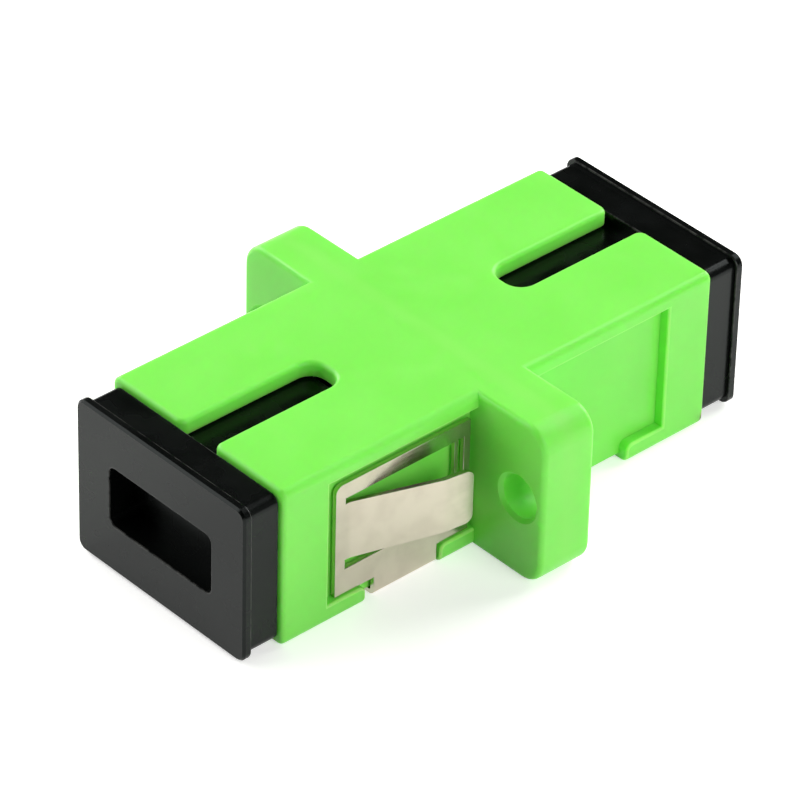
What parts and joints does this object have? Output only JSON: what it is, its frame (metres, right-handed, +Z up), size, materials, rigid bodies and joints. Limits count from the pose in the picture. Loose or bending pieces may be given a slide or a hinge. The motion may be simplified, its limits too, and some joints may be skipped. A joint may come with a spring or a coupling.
{
  "type": "fibre optic adapter",
  "caption": "Flanged SC fibre optic adapter with a sprung panel clip, keyed ports at both ends and pull-off dust caps.",
  "frame": {"origin": "centre of the underside of the bounding box, in the plane of the flange's weld", "axes": "+X across the flange, +Y along the fibre from the clip end to the plain end, +Z up from the flat underside to the key slots"},
  "size_m": [0.0222, 0.0332, 0.0093],
  "materials": {
    "housing": "bright green, slightly translucent moulding with a satin gloss",
    "clip": "thin bright spring steel",
    "insert": "natural off-white moulding",
    "sleeve": "smooth white ceramic",
    "cap": "soft charcoal, semi-matt"
  },
  "bodies": {
    "adapter": {"housing_front": "housing", "housing_rear": "housing", "mounting_clip": "clip", "latch_insert_front": "insert", "latch_insert_rear": "insert", "split_sleeve": "sleeve"},
    "front_cap": {"dust_cap_front": "cap"},
    "rear_cap": {"dust_cap_rear": "cap"}
  },
  "joints": [
    {"name": "cap_front_pull", "type": "slide", "parent": "adapter", "child": "front_cap", "axis": [0, -1, 0], "range_m": [0, 0.014]},
    {"name": "cap_rear_pull", "type": "slide", "parent": "adapter", "child": "rear_cap", "axis": [0, 1, 0], "range_m": [0, 0.014]}
  ]
}
